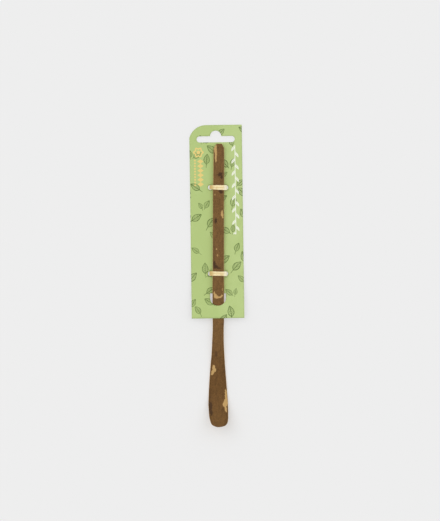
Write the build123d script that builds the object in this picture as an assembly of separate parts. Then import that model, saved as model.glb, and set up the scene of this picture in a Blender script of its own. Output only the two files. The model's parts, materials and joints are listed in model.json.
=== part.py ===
from build123d import *
import math
import os

os.makedirs("parts", exist_ok=True)

# A bamboo tea scoop on its hang card, lying on its back. Lengths are in millimetres.
# While it is built, x = 0 is the scoop's centre line, y = 0 is the cut end of its handle,
# -y runs down to the tip of the blade, and z = 0 is the table.

# Scoop: a split bamboo strip, cut from the skin side of the culm
handle_length = 118.0       # from the cut end to the waist, where the blade starts to flare
blade_length = 61.6         # from the waist to the tip, seen from the front
handle_width = 7.15
waist_width = 7.08
blade_width = 12.75
handle_thickness = 2.20
blade_thickness = 1.20
skin_crown = 0.30           # rise of the skin's arc above the two front edges
handle_bevel = 0.55         # width of the knife's bevel along each back edge
blade_bevel = 0.30
heel_before_tip = 30.0      # where the blade's back touches the table
curl_before_tip = 24.0      # where the heat bend of the blade starts
curl_radius = 33.0
curl_angle = 39.0           # degrees, of the tip against the handle

# The two edges are cut by eye and differ a little. Places down the handle are shares of its
# length, and the half widths are shares of handle_width / 2.
handle_place_shares = (0.0, 0.07, 0.14, 0.30, 0.45, 0.60, 0.70, 0.80, 0.88, 0.955)
handle_left_shares = (0.83, 0.88, 0.91, 0.97, 0.99, 1.01, 1.025, 1.055, 1.035, 1.02)
handle_right_shares = (1.02, 1.03, 1.03, 1.00, 1.00, 1.00, 1.00, 1.01, 1.01, 1.00)
waist_left_share = 1.035
waist_right_share = 0.965

# Places down the blade are shares of its length, and the half widths are shares of the way
# from the waist to the full width of the blade.
blade_place_shares = (0.13, 0.25, 0.37, 0.50, 0.62, 0.77, 0.88)
blade_left_shares = (0.125, 0.26, 0.51, 0.725, 0.88, 1.0, 1.0)
blade_right_shares = (0.02, 0.14, 0.285, 0.50, 0.70, 0.91, 0.97)

# The tip's outline from the left edge round to the right edge: places across are shares of
# blade_width / 2, and places down are shares of blade_length back from the tip.
tip_across_shares = (
    -1.03, -0.963, -0.910, -0.787, -0.624, -0.314, -0.031, 0.314, 0.607, 0.792, 0.933, 0.991, 1.03
)
tip_back_shares = (
    0.27, 0.166, 0.104, 0.053, 0.0225, 0.006, 0.0, 0.0035, 0.0115, 0.0245, 0.049, 0.094, 0.17
)

# The cut end of the handle: a flat middle with two facets, wider on the left
end_left_facet = (1.65, 2.9)      # across, down
end_right_facet = (1.40, 2.8)

# Card: one piece of printed board, hung by its slot
card_length = 122.70
card_width = 33.40
card_thickness = 0.40
card_above_handle = 12.00   # from the card's top edge to the handle's end
card_offset = -1.03         # of the card's middle from the scoop's centre line
card_tilt = 0.78            # degrees anticlockwise, as the scoop is strapped on
corner_radius = 11.00       # the one round corner, at the top left
corner_run = 10.60          # how much of the top edge that corner takes

slot_width = 24.20
slot_height = 3.90
slot_below_top = 7.10       # from the card's top edge to the slot's top edge
peg_radius = 3.50           # of the round notch over the slot, where a peg sits

hole_diameter = 3.00
hole_pitch = 9.85
holes_offset = -0.22        # of each pair of holes, and of the passage, from the scoop
upper_tie_down = 27.70      # from the handle's end to each tie
lower_tie_down = 82.40

passage_width = 10.10       # the opening that lets the scoop through to the card's back
passage_height = 7.80
passage_below_tie = 12.50   # from the lower tie's middle

# The foot of the card bows forward over the scoop, which runs behind it
bow_above_passage = 9.60    # where the bow starts, above the passage
side_lift = 2.30            # of the card's two bottom corners
bridge_flat = 7.80          # width of the level part of the bridge over the scoop
bridge_fade = 23.00         # width over which the bridge dies away into the sides
bridge_play = 0.12          # between the scoop's skin and the card that bridges it
bridge_full_share = 0.92    # of the passage's foot radius, where the bridge is at its full height
bow_rows = 26               # how many steps the bow's smooth face is worked out in
bow_columns = 28
bow_fineness = 0.01

# Ties: flat raffia strips, through two holes each and knotted behind the card
tie_width = 2.90
tie_neck_width = 2.50       # where the strip is squeezed through a hole
tie_thickness = 0.30
tie_span = 10.30            # clear width between the two legs
neck_start_share = 0.70     # of the half span, where the strip starts to narrow
tie_play = 0.14             # between the strip and the scoop
tie_card_play = 0.05        # between the strip and the card's back
shoulder_radius = 1.00
under_radius = 0.25
knot_width = 4.60
knot_length = 3.60
knot_thickness = 0.95
knot_corner = 1.00
knot_edge = 0.28
tail_length = 8.50
tail_width = 1.90
tail_tip_share = 0.72
tail_angle = 28.0           # degrees, of each tail against the strip
tail_lift = 0.25            # of the tails above the table

scoop_play = 0.08           # between the scoop's back and the card's face
overrun = 2.00              # how far every cutting tool passes what it cuts

# Worked out from the sizes above
scoop_length = handle_length + blade_length
card_back = knot_thickness + tie_card_play
card_face = card_back + card_thickness
scoop_back = card_face + scoop_play
scoop_front = scoop_back + handle_thickness
bridge_height = scoop_front + bridge_play - card_back
passage_top_down = lower_tie_down + passage_below_tie
passage_centre_down = passage_top_down + passage_height - passage_width / 2
bow_start_down = passage_top_down - bow_above_passage
bow_end_down = card_length - card_above_handle + overrun


def smooth(share):
    """An even slope from 0 to 1 that starts and ends level."""
    share = min(max(share, 0.0), 1.0)
    return share * share * (3 - 2 * share)


def mix(first, last, share):
    """The value that lies a share of the way from the first to the last."""
    return first + (last - first) * share


def back_at(down):
    """Height and slope, in degrees, of the scoop's back at a place down from the handle's end."""
    drop_start = bow_end_down
    heel = scoop_length - heel_before_tip
    curl = scoop_length - curl_before_tip
    if down <= drop_start:
        return scoop_back, 0.0
    if down < heel:
        share = (down - drop_start) / (heel - drop_start)
        slope = -scoop_back * 6 * share * (1 - share) / (heel - drop_start)
        return scoop_back * (1 - smooth(share)), math.degrees(math.atan(slope))
    run = max(down - curl, 0.0)
    turn = math.radians(curl_angle)
    bend = min(run, curl_radius * math.sin(turn))
    rise = curl_radius - math.sqrt(curl_radius**2 - bend**2)
    slope = math.asin(bend / curl_radius)
    return rise + (run - bend) * math.tan(turn), math.degrees(slope)


def scoop_stations():
    """Each section's place down the scoop with its left and right half widths."""
    half = handle_width / 2
    stations = [(-overrun, half * handle_left_shares[0], half * handle_right_shares[0])]
    for place, left, right in zip(handle_place_shares, handle_left_shares, handle_right_shares):
        stations.append((handle_length * place, half * left, half * right))
    waist_left = waist_width / 2 * waist_left_share
    waist_right = waist_width / 2 * waist_right_share
    stations.append((handle_length, waist_left, waist_right))
    for place, left, right in zip(blade_place_shares, blade_left_shares, blade_right_shares):
        down = handle_length + blade_length * place
        stations.append(
            (down, mix(waist_left, blade_width / 2, left), mix(waist_right, blade_width / 2, right))
        )
    stations.append((scoop_length - blade_thickness, blade_width / 2, blade_width / 2))
    stations.append((scoop_length + overrun, blade_width / 2, blade_width / 2))
    return stations


def scoop_section(plane, left, right, thickness, bevel):
    """One cut across the scoop: a crowned skin, two flanks, and bevels to the flat back."""
    edge = thickness - skin_crown
    skin = ThreePointArc((-left, edge), ((right - left) / 2, thickness), (right, edge))
    rest = Polyline(
        (right, edge),
        (right, bevel),
        (right - bevel, 0),
        (bevel - left, 0),
        (-left, bevel),
        (-left, edge),
    )
    return plane * make_face([skin, rest])


def scoop_plan():
    """The outline that trims the handle's cut end and rounds the tip."""
    half = blade_width / 2
    end_left = handle_width / 2 * handle_left_shares[0]
    end_right = handle_width / 2 * handle_right_shares[0]
    reach = half + overrun
    tip = [
        (half * across, blade_length * back - scoop_length)
        for across, back in zip(tip_across_shares, tip_back_shares)
    ]
    left_slope = end_left_facet[0] / end_left_facet[1]
    right_slope = end_right_facet[0] / end_right_facet[1]
    end = Polyline(
        tip[-1],
        (reach, tip[-1][1]),
        (reach, -(reach - end_right + end_right_facet[0]) / right_slope),
        (end_right - end_right_facet[0], 0),
        (end_left_facet[0] - end_left, 0),
        (-reach, -(reach - end_left + end_left_facet[0]) / left_slope),
        (-reach, tip[0][1]),
        tip[0],
    )
    return make_face([Spline(*tip), end])


def make_scoop():
    """The strip is lofted through its sections and trimmed to its outline."""
    flats = []
    for down, left, right in scoop_stations():
        height, slope = back_at(down)
        along = Vector(0, -math.cos(math.radians(slope)), math.sin(math.radians(slope)))
        thin = smooth((down - handle_length) / (blade_length - curl_before_tip))
        flats.append(
            scoop_section(
                Plane((0, -down, height), x_dir=(1, 0, 0), z_dir=along),
                left,
                right,
                mix(handle_thickness, blade_thickness, thin),
                mix(handle_bevel, blade_bevel, thin),
            )
        )
    return loft(flats) & extrude(scoop_plan(), curl_radius)


def card_outline():
    """The card's outline about its own middle, with its one round corner."""
    left, right = -card_width / 2, card_width / 2
    foot, top = -card_length / 2, card_length / 2
    centre = (left + corner_run, top - corner_radius)
    edge_down = corner_radius - math.sqrt(corner_radius**2 - corner_run**2)
    start_angle = math.atan2(top - edge_down - centre[1], left - centre[0]) % (2 * math.pi)
    middle_angle = (start_angle + math.pi / 2) / 2
    middle = (
        centre[0] + corner_radius * math.cos(middle_angle),
        centre[1] + corner_radius * math.sin(middle_angle),
    )
    corner = ThreePointArc((left, top - edge_down), middle, (centre[0], top))
    sides = Polyline(
        (centre[0], top), (right, top), (right, foot), (left, foot), (left, top - edge_down)
    )
    return make_face([corner, sides])


def hang_slot():
    """A long slot with round ends, and a round notch over its middle for a peg."""
    slot_top = card_length / 2 - slot_below_top
    slot = Pos(0, slot_top - slot_height / 2) * SlotOverall(slot_width, slot_height)
    notch = Pos(0, slot_top) * Circle(peg_radius)
    return slot + notch


def passage():
    """The opening for the scoop: a straight top and a round foot."""
    foot = Pos(holes_offset, -passage_centre_down) * Circle(passage_width / 2)
    straight = passage_centre_down - passage_top_down
    return foot + Pos(holes_offset, -passage_centre_down) * Rectangle(
        passage_width, straight, align=(Align.CENTER, Align.MIN)
    )


def bow_at(across, down):
    """How far the card's face is lifted at a place across from the scoop and down from its end."""
    side = side_lift * smooth((down - bow_start_down) / (bow_end_down - bow_start_down))
    bridge_full_down = passage_centre_down + passage_width / 2 * bridge_full_share
    bridge = bridge_height * smooth((down - passage_top_down) / (bridge_full_down - passage_top_down))
    near = 1 - smooth((abs(across) - bridge_flat / 2) / ((bridge_fade - bridge_flat) / 2))
    return mix(side, bridge, near)


def bowed_foot():
    """The foot of the card: a smooth face through points on the bow, one board thick."""
    half = card_width / 2 + abs(card_offset) + overrun
    rows = []
    for row in range(bow_rows + 1):
        down = mix(bow_start_down, bow_end_down, row / bow_rows)
        places = [mix(-half, half, column / bow_columns) for column in range(bow_columns + 1)]
        rows.append([(x, -down, card_back + bow_at(x, down)) for x in places])
    back = Face.make_surface_from_array_of_points(rows, tol=bow_fineness)
    return extrude(back, card_thickness, dir=(0, 0, 1))


def make_card():
    """The flat board and its bowed foot, cut to the outline with its slot, holes and passage."""
    half = card_width / 2 + abs(card_offset) + overrun
    board = Pos(0, -bow_start_down, card_back) * Box(
        2 * half,
        bow_start_down + card_above_handle + overrun,
        card_thickness,
        align=(Align.CENTER, Align.MIN, Align.MIN),
    )
    middle = Pos(card_offset, card_above_handle - card_length / 2) * Rot(0, 0, card_tilt)
    plan = middle * (card_outline() - hang_slot())
    for down in (upper_tie_down, lower_tie_down):
        for side in (-1, 1):
            x = holes_offset + side * hole_pitch / 2
            plan -= Pos(x, -down) * Circle(hole_diameter / 2)
    plan -= passage()
    return (board + bowed_foot()) & extrude(plan, card_face + bridge_height + overrun)


def strip_loop():
    """The strip seen from the end of the scoop: over the skin, down both sides and behind."""
    half = tie_span / 2
    shoulder = scoop_front - skin_crown
    under = card_back - tie_card_play
    over = ThreePointArc((-half, shoulder), (0, scoop_front + tie_play), (half, shoulder))
    rest = Polyline((half, shoulder), (half, under), (-half, under), (-half, shoulder))
    inner = make_face([over, rest])
    corners = inner.vertices().sort_by(Axis.Y)
    inner = fillet(corners[-2:], shoulder_radius)
    corners = inner.vertices().sort_by(Axis.Y)
    inner = fillet(corners[:2], under_radius)
    return offset(inner, tie_thickness) - inner


def strip_plan():
    """The strip seen from the front: full width over the scoop, squeezed where it enters a hole."""
    reach = tie_span / 2 + tie_thickness + tie_play
    near = tie_span / 2 * neck_start_share
    points = ((-reach, tie_neck_width / 2), (-near, tie_width / 2), (near, tie_width / 2))
    upper = Spline(*points, (reach, tie_neck_width / 2), tangents=[(1, 0), (1, 0)])
    lower = mirror(upper, about=Plane.XZ)
    ends = [Line(upper @ 0, lower @ 0), Line(upper @ 1, lower @ 1)]
    return make_face([upper, lower, *ends])


def knot():
    """The flattened knot behind the card, with the strip's two cut ends."""
    pad = extrude(RectangleRounded(knot_width, knot_length, knot_corner), knot_thickness)
    pad = fillet(pad.edges().group_by(Axis.Z)[0], knot_edge)
    half, tip = tail_width / 2, tail_width / 2 * tail_tip_share
    tail = make_face(
        Polyline((0, -half), (tail_length - half, -tip), (tail_length, tip), (0, half), close=True)
    )
    solid = pad
    for side in (-1, 1):
        turned = Rot(0, 0, -90 + side * (90 - tail_angle)) * tail
        solid += Pos(0, 0, tail_lift) * extrude(turned, tie_thickness)
    return solid


def make_tie(down):
    """One raffia strip round the scoop and the card, at its place down the handle."""
    loop = extrude(Plane.XZ * strip_loop(), tie_width / 2, both=True)
    strip = loop & extrude(strip_plan(), scoop_front + overrun)
    return Pos(0, -down, 0) * (Pos(holes_offset, 0, 0) * strip + knot())


pieces = {
    "scoop": make_scoop(),
    "hang_card": make_card(),
    "upper_tie": make_tie(upper_tie_down),
    "lower_tie": make_tie(lower_tie_down),
}

# The origin is on the table, under the middle of the whole
box = Compound(children=[piece.solid() for piece in pieces.values()]).bounding_box()
origin = Pos(-box.center().X, -box.center().Y, -box.min.Z)
for name, piece in pieces.items():
    export_step(origin * piece.solid(), f"parts/{name}.step")
print(f"scoop's end at x {-box.center().X:.4f}, y {-box.center().Y:.4f}, z {-box.min.Z:.4f}")
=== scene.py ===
"""Dresses a bamboo tea scoop on its printed hang card for a studio picture.

Lengths are in millimetres in the maker's own frame, where a place is (across, down, height):
across from the scoop's centre line, down from the cut end of its handle, and height over the
table. Layout turns such a place into the model's frame, in metres.
"""
import json
import logging
import math
from dataclasses import dataclass, field
from enum import Enum
from functools import partial, reduce
from typing import Callable, NamedTuple, Sequence

import bmesh
import bpy
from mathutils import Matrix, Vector, noise
from mathutils.geometry import delaunay_2d_cdt


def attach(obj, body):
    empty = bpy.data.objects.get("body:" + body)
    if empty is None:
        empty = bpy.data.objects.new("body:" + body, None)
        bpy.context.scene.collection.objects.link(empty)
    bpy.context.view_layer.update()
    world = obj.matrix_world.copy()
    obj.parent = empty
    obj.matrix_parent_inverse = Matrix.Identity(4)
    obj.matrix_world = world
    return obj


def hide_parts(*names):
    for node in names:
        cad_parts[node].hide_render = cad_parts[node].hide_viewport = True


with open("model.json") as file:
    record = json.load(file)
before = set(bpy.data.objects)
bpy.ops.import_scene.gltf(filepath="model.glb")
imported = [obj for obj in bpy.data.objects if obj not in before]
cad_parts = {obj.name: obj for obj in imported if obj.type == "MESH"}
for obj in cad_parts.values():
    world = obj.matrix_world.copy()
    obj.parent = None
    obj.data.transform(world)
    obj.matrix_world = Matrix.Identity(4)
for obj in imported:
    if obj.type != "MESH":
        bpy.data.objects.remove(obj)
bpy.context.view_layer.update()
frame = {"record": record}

MM = 0.001
UPPER_TIE_DOWN = 27.70
LOWER_TIE_DOWN = 82.40
LOG = logging.getLogger("tea scoop")
Point = tuple[float, float]
Span = tuple[float, float]
Colour = tuple[float, float, float, float]
Socket = bpy.types.NodeSocket
Value = Socket | float | tuple


class Fleck(Enum):
    """What a mark on the bamboo's skin is."""

    SCRAPED = "pale flesh where the skin is gone"
    STAIN = "dark stain in the skin"


class Surface(Enum):
    """The surfaces of the scoop, by their place in its list of materials."""

    SKIN = 0
    FLESH = 1


class Side(Enum):
    """The surfaces of the board, by their place in its list of materials."""

    PRINTED = 0
    BACK = 1
    CORE = 2


def smooth(share: float) -> float:
    """An even slope from 0 to 1 that starts and ends level."""
    share = min(max(share, 0.0), 1.0)
    return share * share * (3 - 2 * share)


def mix(first: float, last: float, share: float) -> float:
    """The value that lies a share of the way from the first to the last."""
    return first + (last - first) * share


def linear(red: int, green: int, blue: int) -> Colour:
    """Turns a colour as a screen shows it into the light that a shader wants.

    Args:
        red: Red from 0 to 255.
        green: Green from 0 to 255.
        blue: Blue from 0 to 255.

    Returns:
        Linear red, green, blue and an alpha of 1.
    """
    out = []
    for value in (red, green, blue):
        share = value / 255
        out.append(share / 12.92 if share <= 0.04045 else ((share + 0.055) / 1.055) ** 2.4)
    return (*out, 1.0)


def arc(centre: Point, radius: float, start: float, end: float, steps: int) -> list[Point]:
    """Points on an arc, from one angle in degrees to another."""
    angles = (math.radians(mix(start, end, i / steps)) for i in range(steps + 1))
    return [(centre[0] + radius * math.cos(a), centre[1] + radius * math.sin(a)) for a in angles]


def curve_through(points: Sequence[Point], steps: int) -> list[Point]:
    """Samples a smooth curve that passes through each point.

    Args:
        points: The points, in order.
        steps: How many short runs there are between two points.

    Returns:
        The curve's own points, the first and last given ones among them.
    """
    out = []
    for i in range(len(points) - 1):
        before = points[max(i - 1, 0)]
        start, end = points[i], points[i + 1]
        after = points[min(i + 2, len(points) - 1)]
        for k in range(steps):
            t = k / steps
            out.append(tuple(
                0.5 * (2 * start[a] + (end[a] - before[a]) * t
                       + (2 * before[a] - 5 * start[a] + 4 * end[a] - after[a]) * t**2
                       + (3 * start[a] - before[a] - 3 * end[a] + after[a]) * t**3)
                for a in (0, 1)
            ))
    out.append(tuple(points[-1]))
    return out


def read_off(curve: Sequence[Point], key: float) -> float:
    """Reads a curve whose first values rise.

    Args:
        curve: The curve's points.
        key: The first value to look for.

    Returns:
        The second value there, or that of the nearer end where the key is past it.
    """
    if key <= curve[0][0]:
        return curve[0][1]
    for (low, first), (high, last) in zip(curve, curve[1:]):
        if key <= high:
            return mix(first, last, (key - low) / (high - low)) if high > low else last
    return curve[-1][1]


def encloses(loops: Sequence[Sequence[Point]], place: Point) -> bool:
    """Tells whether a place is on the board: inside its outline and outside its openings.

    Args:
        loops: The outline and the openings.
        place: The place.

    Returns:
        Whether a straight way out of there crosses the loops an odd number of times.
    """
    crossings = 0
    for loop in loops:
        for (ax, ay), (bx, by) in zip(loop, loop[1:] + loop[:1]):
            if (ay > place[1]) != (by > place[1]):
                crossings += place[0] < ax + (bx - ax) * (place[1] - ay) / (by - ay)
    return crossings % 2 == 1


def finished(name: str, bm: bmesh.types.BMesh) -> bpy.types.Object:
    """Turns a finished bmesh into an object of the scene.

    Args:
        name: The piece's name.
        bm: The bmesh, which is freed.

    Returns:
        The object.
    """
    mesh = bpy.data.meshes.new(name)
    bm.to_mesh(mesh)
    bm.free()
    piece = bpy.data.objects.new(name, mesh)
    bpy.context.scene.collection.objects.link(piece)
    return piece


@dataclass(frozen=True)
class Layout:
    """Where the maker's own frame lies in the model's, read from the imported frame."""

    axis_x: float
    end_y: float

    @classmethod
    def from_frame(cls, record: dict, lower_tie_down: float) -> "Layout":
        """Reads the scoop's centre line and its handle's end off the mount under the lower knot.

        Args:
            record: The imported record.
            lower_tie_down: The lower tie's place down the scoop.

        Returns:
            The layout.
        """
        rest = next(m for m in record["mounts"] if m["name"] == "back_rest")["pos_m"]
        return cls(axis_x=rest[0] / MM, end_y=rest[1] / MM + lower_tie_down)

    def point(self, across: float, down: float, height: float) -> Vector:
        """A place in the model's frame, in metres."""
        return Vector(((self.axis_x + across) * MM, (self.end_y - down) * MM, height * MM))


@dataclass(frozen=True)
class Grain:
    """A noise: its fineness to the millimetre, its detail, its scale lengthwise, and its strength."""

    fineness: float
    detail: float = 3.0
    lengthwise: float = 1.0
    strength: float = 1.0


class Line(NamedTuple):
    """A printed line or spot: its half width or radius, and half the width of its soft edge."""

    reach: float
    soft: float


class Relief(NamedTuple):
    """A relief in a surface: its depth in millimetres, and how much of it shows."""

    depth: float
    strength: float


class Shader:
    """A material under construction, with a short call for each kind of node it needs."""

    def __init__(self, name: str, specular: float) -> None:
        """Starts a material with a Principled shader.

        Args:
            name: The material's name.
            specular: The shader's specular level.
        """
        self.material = bpy.data.materials.new(name)
        self.material.use_nodes = True
        self.tree = self.material.node_tree
        self.principled = self.tree.nodes["Principled BSDF"]
        self.give("Specular IOR Level", specular)

    def fill(self, socket: Socket, value: Value) -> None:
        """Gives an input socket a value, or a link from another node's output.

        Args:
            socket: The input socket.
            value: The value, or the output socket.
        """
        if isinstance(value, Socket):
            self.tree.links.new(value, socket)
        else:
            socket.default_value = value

    def give(self, name: str, value: Value) -> None:
        """Gives one of the Principled shader's own sockets its value."""
        self.fill(self.principled.inputs[name], value)

    def node(self, kind: str, inputs: dict | None = None, **settings: str) -> bpy.types.Node:
        """Adds one node.

        Args:
            kind: The node's type, without the words ShaderNode.
            inputs: What each input socket gets: a value, or another node's output socket.
            settings: The node's own settings.

        Returns:
            The node.
        """
        node = self.tree.nodes.new("ShaderNode" + kind)
        for name, setting in settings.items():
            setattr(node, name, setting)
        for key, value in (inputs or {}).items():
            self.fill(node.inputs[key], value)
        return node

    def math(self, operation: str, *values: Value) -> Socket:
        """The result of one Math node."""
        return self.node("Math", dict(enumerate(values)), operation=operation).outputs[0]

    def product(self, *values: Value) -> Socket:
        """All the values multiplied."""
        return reduce(partial(self.math, "MULTIPLY"), values)

    def largest(self, *values: Value) -> Socket:
        """The largest of the values."""
        return reduce(partial(self.math, "MAXIMUM"), values)

    def apart(self, value: Value, other: Value) -> Socket:
        """How far two values are apart."""
        return self.math("ABSOLUTE", self.math("SUBTRACT", value, other))

    def between(self, value: Value, low: float, high: float) -> Socket:
        """1 where a value lies between two others, and 0 elsewhere."""
        return self.product(self.math("GREATER_THAN", value, low), self.math("LESS_THAN", value, high))

    def spread(self, share: Value, span: Span) -> Socket:
        """Spreads a share from 0 to 1 evenly over a span."""
        return self.math("MULTIPLY_ADD", share, span[1] - span[0], span[0])

    def radius(self, x: Value, y: Value) -> Socket:
        """The length of two steps at right angles."""
        return self.math("SQRT", self.math("MULTIPLY_ADD", x, x, self.product(y, y)))

    def ramp(self, value: Value, low: float, high: float, start: float = 0.0, end: float = 1.0) -> Socket:
        """Maps a value smoothly from the range low to high onto the range start to end."""
        settings = {"Value": value, "From Min": low, "From Max": high, "To Min": start, "To Max": end}
        return self.node("MapRange", settings, interpolation_type="SMOOTHSTEP").outputs["Result"]

    def line(self, away: Value, line: Line) -> Socket:
        """1 on a printed line and 0 off it, by how far away its middle is."""
        return self.ramp(away, line.reach + line.soft, line.reach - line.soft)

    def vector(self, operation: str, *values: Value) -> Socket:
        """The result of one Vector Math node, its value where it measures a length."""
        node = self.node("VectorMath", dict(enumerate(values)), operation=operation)
        return node.outputs["Value" if operation == "LENGTH" else "Vector"]

    def split(self, point: Value) -> tuple[Socket, ...]:
        """The three values of a vector."""
        return tuple(self.node("SeparateXYZ", {0: point}).outputs)

    def toned(self, colour: Value, tone: Value) -> Socket:
        """A colour made lighter or darker by a tone that is 1 where it stays as it is."""
        colour = colour[:3] if isinstance(colour, tuple) else colour
        return self.node("VectorMath", {0: colour, "Scale": tone}, operation="SCALE").outputs[0]

    def blend(self, share: Value, first: Value, last: Value) -> Socket:
        """Mixes two colours.

        Args:
            share: How much there is of the last colour, from 0 to 1.
            first: The colour at 0.
            last: The colour at 1.

        Returns:
            The mixed colour.
        """
        node = self.node("Mix", data_type="RGBA")
        sockets = {socket.identifier: socket for socket in (*node.inputs, *node.outputs)}
        for key, value in (("Factor_Float", share), ("A_Color", first), ("B_Color", last)):
            self.fill(sockets[key], value)
        return sockets["Result_Color"]

    def place(self, layout: Layout) -> Socket:
        """The shaded place as the maker's frame has it.

        Args:
            layout: Where that frame lies.

        Returns:
            The place across, down and in height, in millimetres.
        """
        coordinates = self.node("TexCoord").outputs["Object"]
        scaled = self.vector("MULTIPLY", coordinates, (1 / MM, -1 / MM, 1 / MM))
        return self.vector("SUBTRACT", scaled, (layout.axis_x, -layout.end_y, 0.0))

    def layer(self, name: str, output: str = "Vector") -> Socket:
        """What the mesh's layer of that name holds: a vector, or its Fac for a number."""
        return self.node("Attribute", attribute_name=name).outputs[output]

    def noise_node(self, point: Value, grain: Grain) -> bpy.types.Node:
        """The noise node of a grain.

        Args:
            point: The place that it is worked out from, in millimetres.
            grain: The grain.

        Returns:
            The node.
        """
        if grain.lengthwise != 1.0:
            point = self.vector("MULTIPLY", point, (1.0, grain.lengthwise, 1.0))
        return self.node("TexNoise", {"Vector": point, "Scale": grain.fineness, "Detail": grain.detail})

    def grain(self, point: Value, grain: Grain) -> Socket:
        """A grain's noise, from 0 to 1."""
        return self.noise_node(point, grain).outputs["Fac"]

    def swing(self, point: Value, grain: Grain, start: Value) -> Socket:
        """A value that swings up and down by a grain's noise and strength."""
        off_middle = self.math("SUBTRACT", self.grain(point, grain), 0.5)
        return self.math("MULTIPLY_ADD", off_middle, grain.strength, start)

    def astray(self, point: Value, grain: Grain, reach: tuple) -> Socket:
        """Leads a place astray, so that what is drawn by it has ragged edges.

        Args:
            point: The place, in millimetres.
            grain: The grain that leads it astray.
            reach: The full width of its wandering across, down and in height.

        Returns:
            The wandering place.
        """
        wander = self.noise_node(point, grain).outputs["Color"]
        wander = self.vector("SUBTRACT", wander, (0.5, 0.5, 0.5))
        return self.vector("ADD", point, self.vector("MULTIPLY", wander, reach))

    def press(self, height: Value, relief: Relief) -> None:
        """Presses a relief into the surface, by a height from 0 to 1."""
        sockets = {"Height": height, "Distance": relief.depth * MM, "Strength": relief.strength}
        self.give("Normal", self.node("Bump", sockets).outputs["Normal"])


@dataclass(frozen=True)
class Mark:
    """One fleck of the skin, as an oval: its middle, its half sizes and its turn in degrees.

    Its half height is so great that it marks the skin at any height.
    """

    kind: Fleck
    across: float
    down: float
    half_width: float
    half_length: float
    turn: float = 0.0
    opacity: float = 1.0
    half_height: float = 1000.0


# Flecks of the skin, each kind from the cut end to the tip. An uneven fleck is two or more ovals.
MARKS = (
    Mark(Fleck.SCRAPED, -1.60, 6.2, 0.62, 5.8, 1),
    Mark(Fleck.SCRAPED, -2.15, 3.0, 0.70, 2.8, -4),
    Mark(Fleck.SCRAPED, -2.30, 32.2, 0.45, 0.75, 0, 0.6),
    Mark(Fleck.SCRAPED, 2.20, 44.0, 0.55, 2.0, 6),
    Mark(Fleck.SCRAPED, 2.60, 45.6, 0.50, 1.7, -4),
    Mark(Fleck.SCRAPED, -1.20, 66.9, 0.40, 0.48, 0, 0.8),
    Mark(Fleck.SCRAPED, -0.55, 70.8, 0.38, 0.80, 0, 0.8),
    Mark(Fleck.SCRAPED, 2.60, 92.4, 0.32, 0.95, 0, 0.5),
    Mark(Fleck.SCRAPED, -2.45, 95.7, 0.50, 2.4, -5),
    Mark(Fleck.SCRAPED, -1.80, 96.6, 0.85, 1.7, -24),
    Mark(Fleck.SCRAPED, -1.10, 97.3, 1.70, 0.85, 6),
    Mark(Fleck.SCRAPED, 0.60, 97.3, 1.60, 0.60, -6),
    Mark(Fleck.SCRAPED, 2.00, 96.5, 1.10, 0.55, -24),
    Mark(Fleck.SCRAPED, -2.95, 142.3, 0.95, 1.8, -2),
    Mark(Fleck.SCRAPED, -2.55, 143.6, 1.25, 1.1, 14),
    Mark(Fleck.SCRAPED, -3.65, 145.2, 0.80, 1.9, 20),
    Mark(Fleck.SCRAPED, 4.85, 160.2, 0.62, 4.6, -4),
    Mark(Fleck.SCRAPED, 4.55, 164.4, 1.25, 3.0, 8),
    Mark(Fleck.SCRAPED, 3.45, 165.4, 0.85, 0.95, 0),
    Mark(Fleck.SCRAPED, 4.65, 168.0, 0.62, 2.4, -10),
    Mark(Fleck.STAIN, 1.10, 19.4, 1.35, 1.1, -20),
    Mark(Fleck.STAIN, 2.00, 21.0, 0.85, 1.1, 0),
    Mark(Fleck.STAIN, 1.55, 30.4, 1.25, 1.2, 20),
    Mark(Fleck.STAIN, -1.70, 49.0, 0.85, 1.7, 8),
    Mark(Fleck.STAIN, -2.55, 76.6, 0.85, 2.3, 0),
    Mark(Fleck.STAIN, -1.60, 78.1, 1.60, 1.15, 16),
    Mark(Fleck.STAIN, 0.10, 78.8, 1.70, 0.55, 8, 0.8),
    Mark(Fleck.STAIN, -1.50, 133.4, 0.95, 1.8, 10, 0.55),
    Mark(Fleck.STAIN, -5.20, 167.0, 1.35, 3.4, 4, 0.9),
    Mark(Fleck.STAIN, -4.70, 170.2, 1.00, 2.2, -14, 0.9),
)


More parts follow.
